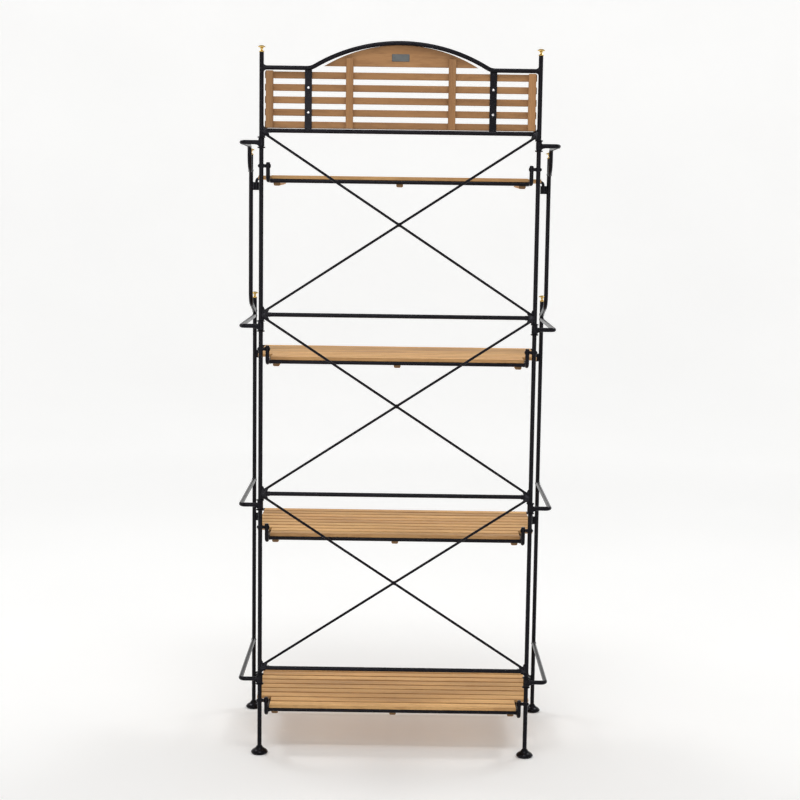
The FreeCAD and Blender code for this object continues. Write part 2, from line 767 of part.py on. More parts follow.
def foot_and_finial_nodes():
    ways = sides.values()
    return {"back_feet": group(foot(side * post_x, back_y, post_radius) for side in ways),
            "front_feet": group(foot(side * arm_x, lower_y, front_rod_radius) for side in ways),
            "post_finials": group(finial(side * post_x, back_y, post_top) for side in ways),
            "upper_rod_finials": group(finial(side * arm_x, upper_y, upper_rod_top) for side in ways),
            "lower_rod_finials": group(finial(side * arm_x, lower_y, lower_rod_top) for side in ways)}


def rack_nodes():
    nodes = {}
    nodes.update(back_frame_nodes())
    nodes.update(crest_nodes())
    nodes.update(side_frame_nodes())
    nodes.update(foot_and_finial_nodes())
    for shelf in zip(shelf_names, pin_heights, shelf_front_ys, shelf_slat_counts):
        nodes.update(shelf_nodes(*shelf))
    return nodes


os.makedirs("parts", exist_ok=True)
for node_name, shape in rack_nodes().items():
    shape.exportStep("parts/" + node_name + ".step")
    print(node_name, len(shape.Solids), "solids", round(shape.Volume), "mm3")
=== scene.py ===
import json
import math
import random

import bmesh
import bpy
from mathutils import Matrix, Vector, noise


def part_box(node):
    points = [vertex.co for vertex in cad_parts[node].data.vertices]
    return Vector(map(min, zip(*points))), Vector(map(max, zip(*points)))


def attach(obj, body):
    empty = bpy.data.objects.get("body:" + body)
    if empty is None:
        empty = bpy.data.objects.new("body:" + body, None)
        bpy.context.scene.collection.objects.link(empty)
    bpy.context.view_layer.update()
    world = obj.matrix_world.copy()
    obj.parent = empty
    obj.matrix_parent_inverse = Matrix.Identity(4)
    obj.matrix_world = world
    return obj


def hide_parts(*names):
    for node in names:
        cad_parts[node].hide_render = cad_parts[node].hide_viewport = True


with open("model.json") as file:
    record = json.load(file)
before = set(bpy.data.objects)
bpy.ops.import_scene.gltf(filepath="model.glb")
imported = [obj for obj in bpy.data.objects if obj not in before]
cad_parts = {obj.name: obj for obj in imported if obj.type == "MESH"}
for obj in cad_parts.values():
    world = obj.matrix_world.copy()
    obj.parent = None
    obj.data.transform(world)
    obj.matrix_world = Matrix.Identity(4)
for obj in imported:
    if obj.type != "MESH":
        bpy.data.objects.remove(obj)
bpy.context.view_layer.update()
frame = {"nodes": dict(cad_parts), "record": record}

print("frame loaded,", len(frame["nodes"]), "nodes")

shelfNames = ("top", "second", "third", "bottom")


# node helpers

def newFinish(name):
    finish = bpy.data.materials.new(name)
    finish.use_nodes = True
    tree = finish.node_tree
    tree.nodes.clear()
    output = tree.nodes.new("ShaderNodeOutputMaterial")
    shader = tree.nodes.new("ShaderNodeBsdfPrincipled")
    tree.links.new(shader.outputs["BSDF"], output.inputs["Surface"])
    return finish, tree, shader


def plug(tree, value, socket):
    if isinstance(value, bpy.types.NodeSocket):
        tree.links.new(value, socket)
    else:
        socket.default_value = value


def addNode(tree, kind, sockets=None, **settings):
    node = tree.nodes.new("ShaderNode" + kind)
    for key, value in settings.items():
        setattr(node, key, value)
    for key, value in (sockets or {}).items():
        plug(tree, value, node.inputs[key])
    return node


def noiseAt(tree, vector, scale, detail=3.0, roughness=0.5, distortion=0.0):
    node = addNode(tree, "TexNoise", {"Vector": vector, "Scale": scale, "Detail": detail,
                                      "Roughness": roughness, "Distortion": distortion})
    return node.outputs["Fac"]


def colourStops(tree, fac, stops):
    node = addNode(tree, "ValToRGB", {"Fac": fac})
    ramp = node.color_ramp
    while len(ramp.elements) < len(stops):
        ramp.elements.new(0.5)
    for element, (place, colour) in zip(ramp.elements, stops):
        element.position = place
        element.color = (*colour, 1)
    return node.outputs["Color"]


def remap(tree, value, low, high, newLow, newHigh):
    node = addNode(tree, "MapRange", {"Value": value, "From Min": low, "From Max": high,
                                      "To Min": newLow, "To Max": newHigh})
    return node.outputs["Result"]


def blendColour(tree, fac, first, second, mode="MIX"):
    node = addNode(tree, "Mix", data_type="RGBA", blend_type=mode)
    plug(tree, fac, node.inputs[0])
    plug(tree, first, node.inputs[6])
    plug(tree, second, node.inputs[7])
    return node.outputs[2]


def combine(tree, operation, first, second):
    node = addNode(tree, "Math", operation=operation)
    plug(tree, first, node.inputs[0])
    plug(tree, second, node.inputs[1])
    return node.outputs[0]


def bumpFrom(tree, height, strength, distance, under=None):
    node = addNode(tree, "Bump", {"Height": height, "Strength": strength, "Distance": distance})
    if under is not None:
        tree.links.new(under, node.inputs["Normal"])
    return node.outputs["Normal"]


# black iron: brushed-on satin paint, lighter on what faces up from a little dust and a painted highlight

ironLook = {"deep": (0.0018, 0.0016, 0.0024), "worn": (0.0060, 0.0052, 0.0066),
            "dustAndPaintedSheen": (0.046, 0.043, 0.045),
            "rough": (0.20, 0.28), "shine": 0.14, "dustAndPaintedSheenMost": 0.08, "grainScale": 900, "grain": 0.10,
            "dentScale": 130, "dent": 0.10}
weldLook = {"deep": (0.0018, 0.0016, 0.0022), "worn": (0.0058, 0.0052, 0.0062),
            "dustAndPaintedSheen": (0.036, 0.034, 0.036),
            "rough": (0.18, 0.34), "shine": 0.28, "dustAndPaintedSheenMost": 0.08, "grainScale": 1400, "grain": 0.18,
            "dentScale": 420, "dent": 0.35}
ironMake = {"broadScale": 38, "paintFrom": 0.3, "paintTo": 0.72, "dustAndPaintedSheenFrom": 0.25, "dustAndPaintedSheenTo": 1,
            "speckleIn": (0.38, 0.7), "speckleOut": (0.25, 1), "roughIn": (0.3, 0.75),
            "sheen": (0.88, 0.87, 1.0, 1), "dentDeep": 0.0006, "grainDeep": 0.00025}


def makeIron(name, look):
    finish, tree, shader = newFinish(name)
    coords = addNode(tree, "TexCoord")
    place = coords.outputs["Object"]
    broad = noiseAt(tree, place, ironMake["broadScale"], 5, 0.6)
    grain = noiseAt(tree, place, look["grainScale"], 2)
    dents = noiseAt(tree, place, look["dentScale"], 4, 0.55)
    stops = [(ironMake["paintFrom"], look["deep"]), (ironMake["paintTo"], look["worn"])]
    paint = colourStops(tree, broad, stops)
    # up-facing surfaces are mixed towards grey: partly dust, partly a painted highlight on the tops
    facing = addNode(tree, "SeparateXYZ", {"Vector": coords.outputs["Normal"]}).outputs["Z"]
    upwardDustAndSheen = remap(tree, facing, ironMake["dustAndPaintedSheenFrom"], ironMake["dustAndPaintedSheenTo"], 0, look["dustAndPaintedSheenMost"])
    speckle = remap(tree, dents, *ironMake["speckleIn"], *ironMake["speckleOut"])
    dustAndPaintedSheen = combine(tree, "MULTIPLY", upwardDustAndSheen, speckle)
    plug(tree, blendColour(tree, dustAndPaintedSheen, paint, (*look["dustAndPaintedSheen"], 1)), shader.inputs["Base Color"])
    plug(tree, remap(tree, dents, *ironMake["roughIn"], *look["rough"]), shader.inputs["Roughness"])
    shader.inputs["Specular IOR Level"].default_value = look["shine"]
    shader.inputs["Specular Tint"].default_value = ironMake["sheen"]
    dented = bumpFrom(tree, dents, look["dent"], ironMake["dentDeep"])
    plug(tree, bumpFrom(tree, grain, look["grain"], ironMake["grainDeep"], dented), shader.inputs["Normal"])
    return finish


# teak: grain along one axis, each board shifted and toned by its own attributes

shelfTeakLook = {"stops": [(0.22, (0.40, 0.203, 0.070)), (0.42, (0.61, 0.339, 0.126)),
                           (0.62, (0.77, 0.472, 0.195)), (0.85, (0.86, 0.572, 0.269))],
                 "lineDark": (0.34, 0.160, 0.048), "poreDark": (0.19, 0.088, 0.028),
                 "endGrain": (0.16, 0.085, 0.034), "paintedEdgeShade": (0.30, 0.155, 0.062), "paintedEdgeShadeMost": 0.55,
                 "lineMost": 0.45, "poreMost": 0.55, "toneSpread": 0.085}
crestTeakLook = {"stops": [(0.22, (0.214, 0.098, 0.034)), (0.42, (0.308, 0.151, 0.057)),
                           (0.62, (0.370, 0.192, 0.078)), (0.85, (0.428, 0.236, 0.107))],
                 "lineDark": (0.25, 0.120, 0.046), "poreDark": (0.14, 0.067, 0.027),
                 "endGrain": (0.22, 0.115, 0.050), "paintedEdgeShade": (0.22, 0.110, 0.045), "paintedEdgeShadeMost": 0.0,
                 "lineMost": 0.45, "poreMost": 0.55, "toneSpread": 0.055}
teakMake = {"figure": (1.7, 26, 26), "figureIn": (0.3, 0.7), "lines": (0.22, 1, 1), "lineScale": 62,
            "lineDistortion": 9, "lineIn": (0.35, 1), "pores": (34, 1150, 1150), "poreIn": (0.60, 0.74),
            "blotch": (5, 14, 14), "blotchIn": (0.3, 0.7), "blotchOut": (0.88, 1.10),
            "edgeShadeIn": (0.35, 0.9), "endIn": (0.55, 0.95), "endMost": 0.85, "rough": (0.50, 0.66),
            "shine": 0.32, "ridge": 0.16, "ridgeDeep": 0.0005, "pit": 0.22, "pitDeep": 0.0004}
axisOrder = {"X": ("X", "Y", "Z"), "Y": ("Y", "X", "Z"), "Z": ("Z", "X", "Y")}


def makeTeak(name, look, along):
    finish, tree, shader = newFinish(name)
    coords = addNode(tree, "TexCoord")
    shift = addNode(tree, "Attribute", attribute_name="boardShift").outputs["Vector"]
    tone = addNode(tree, "Attribute", attribute_name="boardTone").outputs["Fac"]
    moved = addNode(tree, "VectorMath", operation="ADD")
    plug(tree, coords.outputs["Object"], moved.inputs[0])
    plug(tree, shift, moved.inputs[1])
    parts = addNode(tree, "SeparateXYZ", {"Vector": moved.outputs[0]})
    turned = addNode(tree, "CombineXYZ")
    for axis, socket in zip(axisOrder[along], turned.inputs):
        tree.links.new(parts.outputs[axis], socket)
    grainPlace = turned.outputs["Vector"]

    def stretched(scale):
        return addNode(tree, "Mapping", {"Vector": grainPlace, "Scale": scale}).outputs["Vector"]

    figure = noiseAt(tree, stretched(teakMake["figure"]), 1, 6, 0.58, 0.5)
    lines = addNode(tree, "TexWave", {"Vector": stretched(teakMake["lines"]), "Scale": teakMake["lineScale"],
                                      "Distortion": teakMake["lineDistortion"], "Detail": 3,
                                      "Detail Scale": 0.9, "Detail Roughness": 0.62},
                    wave_type="BANDS", bands_direction="Y").outputs["Fac"]
    pores = noiseAt(tree, stretched(teakMake["pores"]), 1, 2, 0.5)
    blotch = noiseAt(tree, stretched(teakMake["blotch"]), 1, 3, 0.5)
    poreMark = remap(tree, pores, *teakMake["poreIn"], 0, look["poreMost"])
    lineMark = remap(tree, lines, *teakMake["lineIn"], 0, look["lineMost"])
    wood = colourStops(tree, figure, look["stops"])
    wood = blendColour(tree, lineMark, wood, (*look["lineDark"], 1))
    wood = blendColour(tree, poreMark, wood, (*look["poreDark"], 1))
    clouding = remap(tree, blotch, *teakMake["blotchIn"], *teakMake["blotchOut"])
    shade = combine(tree, "MULTIPLY", tone, clouding)
    wood = addNode(tree, "HueSaturation", {"Value": shade, "Color": wood}).outputs["Color"]
    # faces turned along Y, the slats' long sides in the gaps between them, are darkened: painted shade
    normals = addNode(tree, "SeparateXYZ", {"Vector": coords.outputs["Normal"]})
    edgeFace = combine(tree, "ABSOLUTE", normals.outputs["Y"], 0.0)
    paintedEdgeShadeMask = remap(tree, edgeFace, *teakMake["edgeShadeIn"], 0, look["paintedEdgeShadeMost"])
    wood = blendColour(tree, paintedEdgeShadeMask, wood, (*look["paintedEdgeShade"], 1))
    endFace = combine(tree, "ABSOLUTE", normals.outputs[along], 0.0)
    endMark = remap(tree, endFace, *teakMake["endIn"], 0, teakMake["endMost"])
    plug(tree, blendColour(tree, endMark, wood, (*look["endGrain"], 1)), shader.inputs["Base Color"])
    plug(tree, remap(tree, figure, *teakMake["figureIn"], *teakMake["rough"]), shader.inputs["Roughness"])
    shader.inputs["Specular IOR Level"].default_value = teakMake["shine"]
    ridges = bumpFrom(tree, lines, teakMake["ridge"], teakMake["ridgeDeep"])
    plug(tree, bumpFrom(tree, pores, teakMake["pit"], teakMake["pitDeep"], ridges), shader.inputs["Normal"])
    return finish


# polished brass, bright steel and the dull metal of the plate

brassLook = {"bright": (0.78, 0.55, 0.19), "dull": (0.40, 0.26, 0.08), "rough": (0.10, 0.24),
             "cloudScale": 210, "lineScale": 260}
steelLook = {"bright": (0.90, 0.89, 0.90), "dull": (0.66, 0.65, 0.66), "rough": (0.22, 0.42),
             "cloudScale": 210, "lineScale": 420}
plateLook = {"bright": (0.125, 0.132, 0.132), "dull": (0.100, 0.105, 0.105), "rough": (0.36, 0.44),
             "cloudScale": 45, "lineScale": 900}
metalMake = {"dullAt": 0.34, "brightAt": 0.58, "roughIn": (0.3, 0.7), "turned": 0.10, "turnedDeep": 0.0002}


def makeMetal(name, look):
    finish, tree, shader = newFinish(name)
    place = addNode(tree, "TexCoord").outputs["Object"]
    cloud = noiseAt(tree, place, look["cloudScale"], 4, 0.6)
    turning = addNode(tree, "TexWave", {"Vector": place, "Scale": look["lineScale"], "Distortion": 1.5,
                                        "Detail": 2},
                      wave_type="BANDS", bands_direction="Z").outputs["Fac"]
    stops = [(metalMake["dullAt"], look["dull"]), (metalMake["brightAt"], look["bright"])]
    plug(tree, colourStops(tree, cloud, stops), shader.inputs["Base Color"])
    smooth, dull = look["rough"]
    plug(tree, remap(tree, cloud, *metalMake["roughIn"], dull, smooth), shader.inputs["Roughness"])
    shader.inputs["Metallic"].default_value = 1.0
    marks = bumpFrom(tree, turning, metalMake["turned"], metalMake["turnedDeep"])
    plug(tree, marks, shader.inputs["Normal"])
    return finish


ironFinish = makeIron("blackIron", ironLook)
weldFinish = makeIron("blackWeld", weldLook)
shelfTeakX = makeTeak("shelfTeakSlat", shelfTeakLook, "X")
shelfTeakY = makeTeak("shelfTeakBatten", shelfTeakLook, "Y")
crestTeakX = makeTeak("crestTeakSlat", crestTeakLook, "X")
crestTeakZ = makeTeak("crestTeakBatten", crestTeakLook, "Z")
brassFinish = makeMetal("polishedBrass", brassLook)
steelFinish = makeMetal("brightSteel", steelLook)
plateFinish = makeMetal("dullPlate", plateLook)
print("finishes made")


def dress(obj, finish):
    obj.data.materials.clear()
    obj.data.materials.append(finish)


def shapeFrom(name, bm, finish, body):
    bmesh.ops.recalc_face_normals(bm, faces=bm.faces)
    mesh = bpy.data.meshes.new(name)
    bm.to_mesh(mesh)
    bm.free()
    for face in mesh.polygons:
        face.use_smooth = True
    obj = bpy.data.objects.new(name, mesh)
    bpy.context.scene.collection.objects.link(obj)
    dress(obj, finish)
    evened = obj.modifiers.new("evenShading", "WEIGHTED_NORMAL")
    evened.keep_sharp = True
    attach(obj, body)
    return obj


# boards: rounded section run along the grain, faintly uneven, never larger than the solid

boardMake = {"edge": 0.0016, "edgeSteps": 4, "endRound": 0.0012, "endSteps": 3,
             "stationGap": 0.045, "uneven": 0.00035, "waveAlong": 7, "waveAcross": 30, "leastRound": 0.0002,
             "longSlat": 0.75, "longSlatTrim": 0.005, "battenLower": 0.0042, "crestBattenRound": 0.00256}


def roundedSection(a0, a1, b0, b1, radii, steps):
    corners = [(a0, b0, 180), (a1, b0, 270), (a1, b1, 0), (a0, b1, 90)]
    points = []
    for (a, b, start), radius in zip(corners, radii):
        centreA = a + radius if a == a0 else a - radius
        centreB = b + radius if b == b0 else b - radius
        for step in range(steps + 1):
            angle = math.radians(start + 90 * step / steps)
            points.append((centreA + radius * math.cos(angle), centreB + radius * math.sin(angle)))
    return points


def addBoard(bm, layers, along, low, high, lift, radii, spread, dice):
    # lift raises the lower side along the board, for the tapered shelf battens
    axis = "XYZ".index(along)
    others = [index for index in range(3) if index != axis]
    start, end = low[axis], high[axis]
    endRound, endSteps = boardMake["endRound"], boardMake["endSteps"]
    turns = [math.radians(90 * step / endSteps) for step in range(endSteps + 1)]
    stations = [(start + endRound * (1 - math.sin(turn)), endRound * (1 - math.cos(turn)))
                for turn in reversed(turns)]
    count = max(2, round((end - start) / boardMake["stationGap"]))
    stations += [(start + (end - start) * step / count, 0) for step in range(1, count)]
    stations += [(end - endRound * (1 - math.sin(turn)), endRound * (1 - math.cos(turn)))
                 for turn in turns]
    shift = Vector((dice.uniform(-9, 9), dice.uniform(-9, 9), dice.uniform(-9, 9)))
    tone = dice.gauss(1, spread)
    middle = [(low[index] + high[index]) / 2 for index in others]
    lengthwise, across = boardMake["waveAlong"], boardMake["waveAcross"]
    rings = []
    for place, inset in stations:
        rise = lift * (place - start) / (end - start)
        section = roundedSection(low[others[0]] + inset, high[others[0]] - inset,
                                 low[others[1]] + rise + inset, high[others[1]] - inset,
                                 [max(radius - inset, boardMake["leastRound"]) for radius in radii],
                                 boardMake["edgeSteps"])
        ring = []
        for a, b in section:
            wave = noise.noise(Vector((place * lengthwise, a * across, b * across)) + shift)
            pull = boardMake["uneven"] * (wave - 1) / 2
            a += math.copysign(pull, a - middle[0])
            b += math.copysign(pull, b - middle[1])
            point = [0, 0, 0]
            point[axis], point[others[0]], point[others[1]] = place, a, b
            vert = bm.verts.new(point)
            vert[layers["shift"]] = shift
            vert[layers["tone"]] = tone
            ring.append(vert)
        rings.append(ring)
    for first, second in zip(rings, rings[1:]):
        for index, vert in enumerate(first):
            bm.faces.new((first[index - 1], vert, second[index], second[index - 1]))
    bm.faces.new(rings[0])
    bm.faces.new(rings[-1])


def boardLayers(bm):
    return {"shift": bm.verts.layers.float_vector.new("boardShift"),
            "tone": bm.verts.layers.float.new("boardTone")}


def looseIslands(node):
    # lowest and highest corner of each separate piece in a CAD node, and its underside's rise to the front
    mesh = frame["nodes"][node].data
    bm = bmesh.new()
    bm.from_mesh(mesh)
    bmesh.ops.remove_doubles(bm, verts=bm.verts, dist=1e-6)
    left = set(bm.verts)
    boxes = []
    while left:
        island, front = set(), [next(iter(left))]
        while front:
            vert = front.pop()
            if vert in island:
                continue
            island.add(vert)
            front += [edge.other_vert(vert) for edge in vert.link_edges]
        left -= island
        spots = [vert.co for vert in island]
        low = Vector([min(spot[i] for spot in spots) for i in range(3)])
        high = Vector([max(spot[i] for spot in spots) for i in range(3)])
        lift = min(spot.z for spot in spots if high.y - spot.y < boardMake["edge"]) - low.z
        boxes.append((low, high, lift))
    bm.free()
    return sorted(boxes, key=lambda box: (round(box[0].x, 4), round(box[0].y, 4), round(box[0].z, 4)))


def boardsOf(node, name, along, finish, body, radii, spread, seed):
    bm = bmesh.new()
    layers = boardLayers(bm)
    dice = random.Random(seed)
    back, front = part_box(node)[0].y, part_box(node)[1].y
    for low, high, lift in looseIslands(node):
        if high.x - low.x > boardMake["longSlat"]:      # long slats fan out a little to the front
            trim = boardMake["longSlatTrim"] * (front - high.y) / (front - back)
            low.x += trim
            high.x -= trim
        addBoard(bm, layers, along, low, high, lift if along == "Y" else 0, radii, spread, dice)
    obj = shapeFrom(name, bm, finish, body)
    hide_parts(node)


edge, battenLower = boardMake["edge"], boardMake["battenLower"]
crestRound = boardMake["crestBattenRound"]
shelfSpread, crestSpread = shelfTeakLook["toneSpread"], crestTeakLook["toneSpread"]
for number, shelf in enumerate(shelfNames):
    body = shelf + "_shelf"
    boardsOf(body + "_slats", shelf + "ShelfSlats", "X", shelfTeakX, body,
             [edge] * 4, shelfSpread, 11 + number)
    boardsOf(body + "_battens", shelf + "ShelfBattens", "Y", shelfTeakY, body,
             [battenLower, battenLower, edge / 2, edge / 2], shelfSpread, 31 + number)
boardsOf("crest_slats", "crestSlats", "X", crestTeakX, "frame",
         [edge] * 4, crestSpread, 51)
boardsOf("crest_battens", "crestBattens", "Z", crestTeakZ, "frame",
         [crestRound, crestRound, edge / 2, edge / 2], crestSpread, 52)
print("boards laid")


# arched panel of the crest

panelMake = {"steps": 64, "edge": 0.0014, "edgeSegments": 3, "seed": 71}


def makePanel():
    low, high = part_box("crest_panel")
    halfSpan = (high.x - low.x) / 2
    rise = high.z - low.z
    radius = (halfSpan ** 2 + rise ** 2) / (2 * rise)
    spread = math.asin(halfSpan / radius)
    bm = bmesh.new()
    layers = boardLayers(bm)
    outline = []
    for step in range(panelMake["steps"] + 1):
        angle = -spread + 2 * spread * step / panelMake["steps"]
        outline.append((radius * math.sin(angle), high.z - radius + radius * math.cos(angle)))
    back = [bm.verts.new((x, low.y, z)) for x, z in outline]
    front = [bm.verts.new((x, high.y, z)) for x, z in outline]
    bm.faces.new(back)
    bm.faces.new(list(reversed(front)))
    for index in range(len(back)):
        bm.faces.new((back[index - 1], front[index - 1], front[index], back[index]))
    bmesh.ops.recalc_face_normals(bm, faces=bm.faces)
    rims = [e for e in bm.edges if abs(e.verts[0].co.y - e.verts[1].co.y) < 1e-7]
    bmesh.ops.bevel(bm, geom=rims, offset=panelMake["edge"], segments=panelMake["edgeSegments"],
                    affect="EDGES", profile=0.5, clamp_overlap=True)
    dice = random.Random(panelMake["seed"])
    shift = Vector((dice.uniform(-9, 9), dice.uniform(-9, 9), dice.uniform(-9, 9)))
    for vert in bm.verts:
        vert[layers["shift"]] = shift
        vert[layers["tone"]] = 1.0
    panel = shapeFrom("crestPanel", bm, crestTeakX, "frame")
    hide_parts("crest_panel")


makePanel()


# bare name plate on the panel, with a raised rim and two rivets

plateMake = {"width": 0.047, "height": 0.0195, "thick": 0.0012, "corner": 0.0018, "cornerSteps": 5,
             "middle": -0.0015, "rise": 0.0238, "rim": 0.0011, "sink": 0.0004,
             "leastCorner": 0.0005, "rivetInset": 0.0042, "rivetRadius": 0.0013, "rivetHeight": 0.0007}


def addCap(bm, centre, radius, height, rings=4, turns=20):
    # a low dome facing the back, -Y
    tip = bm.verts.new(centre + Vector((0, -height, 0)))
    before = None
    for ring in range(1, rings + 1):
        angle = math.radians(90 * ring / rings)
        wide, deep = radius * math.sin(angle), height * math.cos(angle)
        rounds = [2 * math.pi * turn / turns for turn in range(turns)]
        loop = [bm.verts.new(centre + Vector((wide * math.cos(turn), -deep, wide * math.sin(turn))))
                for turn in rounds]
        for index, vert in enumerate(loop):
            if before is None:
                bm.faces.new((tip, loop[index - 1], vert))
            else:
                bm.faces.new((before[index - 1], loop[index - 1], vert, before[index]))
        before = loop
    bm.faces.new(before)


def makePlate():
    low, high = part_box("crest_panel")
    middle = Vector((plateMake["middle"], low.y, low.z + plateMake["rise"]))
    thick, rim, sink = plateMake["thick"], plateMake["rim"], plateMake["sink"]
    bm = bmesh.new()
    loops = []
    steps = ((0, 0), (0, thick - sink), (sink, thick), (rim, thick), (rim + sink, thick - sink))
    for inset, depth in steps:
        halfWide = plateMake["width"] / 2 - inset
        halfHigh = plateMake["height"] / 2 - inset
        corner = max(plateMake["corner"] - inset, plateMake["leastCorner"])
        outline = roundedSection(-halfWide, halfWide, -halfHigh, halfHigh, [corner] * 4,
                                 plateMake["cornerSteps"])
        loops.append([bm.verts.new(middle + Vector((a, -depth, b))) for a, b in outline])
    for first, second in zip(loops, loops[1:]):
        for index in range(len(first)):
            bm.faces.new((first[index - 1], first[index], second[index], second[index - 1]))
    bm.faces.new(loops[0])
    bm.faces.new(loops[-1])
    for side in (-1, 1):
        spot = Vector((side * (plateMake["width"] / 2 - plateMake["rivetInset"]), sink - thick, 0))
        addCap(bm, middle + spot, plateMake["rivetRadius"], plateMake["rivetHeight"])
    shapeFrom("barePlate", bm, plateFinish, "frame")


makePlate()


# pan head screws with a cross recess, in place of the plain screw solids

screwMake = {"rings": 6, "turns": 40, "crossLong": 0.62, "crossWide": 0.2, "crossDeep": 0.5, "lean": 40}


def cleanCopy(name, bm):
    mesh = bpy.data.meshes.new(name)
    bm.to_mesh(mesh)
    bm.free()
    obj = bpy.data.objects.new(name, mesh)
    bpy.context.scene.collection.objects.link(obj)
    return obj


def makeScrews():
    heads, slots = bmesh.new(), bmesh.new()
    for low, high, _ in looseIslands("strap_screws"):
        radius = (high.x - low.x) / 2
        centre = Vector(((low.x + high.x) / 2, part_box("crest_strap_left")[0].y, (low.z + high.z) / 2))
        height = centre.y - low.y
        addCap(heads, centre, radius, height, screwMake["rings"], screwMake["turns"])
        for turn in (0, 90):
            size = (2 * radius * screwMake["crossLong"], 2 * height * screwMake["crossDeep"],
                    2 * radius * screwMake["crossWide"])
            place = (Matrix.Translation(centre + Vector((0, -height, 0)))
                     @ Matrix.Rotation(math.radians(turn + screwMake["lean"] * radius / centre.z), 4, "Y")
                     @ Matrix.Diagonal((*size, 1)))
            bmesh.ops.create_cube(slots, size=1, matrix=place)
    bmesh.ops.recalc_face_normals(heads, faces=heads.faces)
    screws = cleanCopy("strapScrews", heads)
    cutter = cleanCopy("screwCross", slots)
    recess = screws.modifiers.new("crossRecess", "BOOLEAN")
    recess.operation = "DIFFERENCE"
    recess.use_self = True
    recess.object = cutter
    cut = bmesh.new()
    cut.from_object(screws, bpy.context.evaluated_depsgraph_get())
    bpy.data.objects.remove(screws)
    bpy.data.objects.remove(cutter)
    piece = shapeFrom("strapScrewHeads", cut, steelFinish, "frame")
    piece.modifiers.clear()
    for face in piece.data.polygons:
        face.use_smooth = False
    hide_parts("strap_screws")


makeScrews()
print("plate and screws on")


# weld seams: uneven rings of bead where bar meets bar, and runs of it at the straps' feet

weldMake = {"bead": 0.0017, "shelfBead": 0.0012, "turns": 44, "around": 10, "ripple": 0.28,
            "rippleScale": 900, "endTaper": 0.4,
            "strapRun": 0.0115, "strapBead": 0.0026, "strapDrop": 0.0012,
            "upperRodFall": 0.277, "hookSpread": 0.7}


def addSeam(bm, spots, bead, closed):
    # a tube of bead through the spots, each ring's size rippled
    rings = []
    for index, spot in enumerate(spots):
        before = spots[index - 1] if closed or index else spots[0]
        after = spots[(index + 1) % len(spots)] if closed or index + 1 < len(spots) else spots[-1]
        ahead = (after - before).normalized()
        side = ahead.orthogonal().normalized()
        turn = ahead.cross(side)
        ring = []
        for step in range(weldMake["around"]):
            angle = 2 * math.pi * step / weldMake["around"]
            out = side * math.cos(angle) + turn * math.sin(angle)
            wave = noise.noise((spot + out * bead) * weldMake["rippleScale"])
            end = 1
            if not closed:
                end = math.sin(math.pi * (index + 0.5) / len(spots)) ** weldMake["endTaper"]
            ring.append(bm.verts.new(spot + out * bead * end * (1 + weldMake["ripple"] * wave)))
        rings.append(ring)
    pairs = list(zip(rings, rings[1:])) + ([(rings[-1], rings[0])] if closed else [])
    for first, second in pairs:
        shift = 0
        if first is rings[-1]:      # the closing pair may start at another angle
            shift = min(range(len(first)), key=lambda step: (first[0].co - second[step].co).length)
        for index in range(len(first)):
            bm.faces.new((first[index - 1], first[index], second[(index + shift) % len(first)],
                          second[(index - 1 + shift) % len(first)]))
    if not closed:
        bm.faces.new(rings[0])
        bm.faces.new(rings[-1])


def ringSpots(centre, axis, radius):
    axis = Vector(axis)
    side = axis.orthogonal().normalized()
    turn = axis.cross(side)
    angles = [2 * math.pi * step / weldMake["turns"] for step in range(weldMake["turns"])]
    return [centre + (side * math.cos(angle) + turn * math.sin(angle)) * radius for angle in angles]


def middleOf(node):
    low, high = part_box(node)
    return (low + high) / 2


def makeFrameWelds():
    bm = bmesh.new()
    bead = weldMake["bead"]
    for side in ("left", "right"):
        lowerRod = middleOf("lower_front_rod_" + side)
        low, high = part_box("lower_front_rod_" + side)
        rodRadius = (high.x - low.x) / 2
        for level in ("bottom", "third", "second"):
            low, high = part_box(level + "_arm_" + side)
            armRadius = max(abs(low.x), abs(high.x)) - abs(lowerRod.x)
            centre = Vector((lowerRod.x, lowerRod.y - rodRadius, high.z - armRadius))
            addSeam(bm, ringSpots(centre, (0, 1, 0), armRadius), bead, True)
        low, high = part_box("top_arm_" + side)
        upperRod = Vector((lowerRod.x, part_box("upper_front_rod_" + side)[0].y + rodRadius, 0))
        centre = Vector((upperRod.x, upperRod.y - rodRadius, low.z + armRadius))
        addSeam(bm, ringSpots(centre, (0, 1, 0), armRadius), bead, True)
        fall = weldMake["upperRodFall"]
        low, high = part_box("upper_front_rod_" + side)
        centre = Vector((lowerRod.x, lowerRod.y - rodRadius, low.z + rodRadius * (1 + fall)))
        addSeam(bm, ringSpots(centre, Vector((0, 1, -fall)).normalized(), rodRadius), bead, True)
        strapLow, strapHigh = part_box("crest_strap_" + side)
        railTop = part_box("crest_lower_rail")[1].z
        start = (strapLow.x + strapHigh.x) / 2
        steps = weldMake["turns"] // 2
        spots = [Vector((start + weldMake["strapRun"] * (2 * step / steps - 1), strapLow.y,
                         railTop - weldMake["strapDrop"])) for step in range(steps + 1)]
        addSeam(bm, spots, weldMake["strapBead"], False)
    shapeFrom("frameWeldSeams", bm, weldFinish, "frame")


# heaped weld metal in the corners of post, rail and brace, drawn out along each bar

cornerMake = {"base": 0.0120, "plain": 0.0078, "lobe": 0.0085, "spread": 15.0, "thick": 0.0068,
              "rail": 0.0, "brace": 42.0, "post": 90.0, "rounds": 4,
              "ripple": 0.16, "rippleScale": 2.6, "seed": 91}


def cornerReach(turn, braced):
    # how far the heap reaches from the rail's end at an angle from the rail, up being positive
    if abs(turn) > cornerMake["post"] + cornerMake["spread"]:
        return cornerMake["plain"]
    if turn * braced < 0 and abs(turn) > cornerMake["spread"]:
        return cornerMake["plain"]
    bars = [cornerMake["rail"]]
    bars += [way * cornerMake[bar] for bar in ("brace", "post") for way in (-1, 1)]
    near = max(math.exp(-((turn - bar) / cornerMake["spread"]) ** 2) for bar in bars)
    return cornerMake["base"] + cornerMake["lobe"] * near


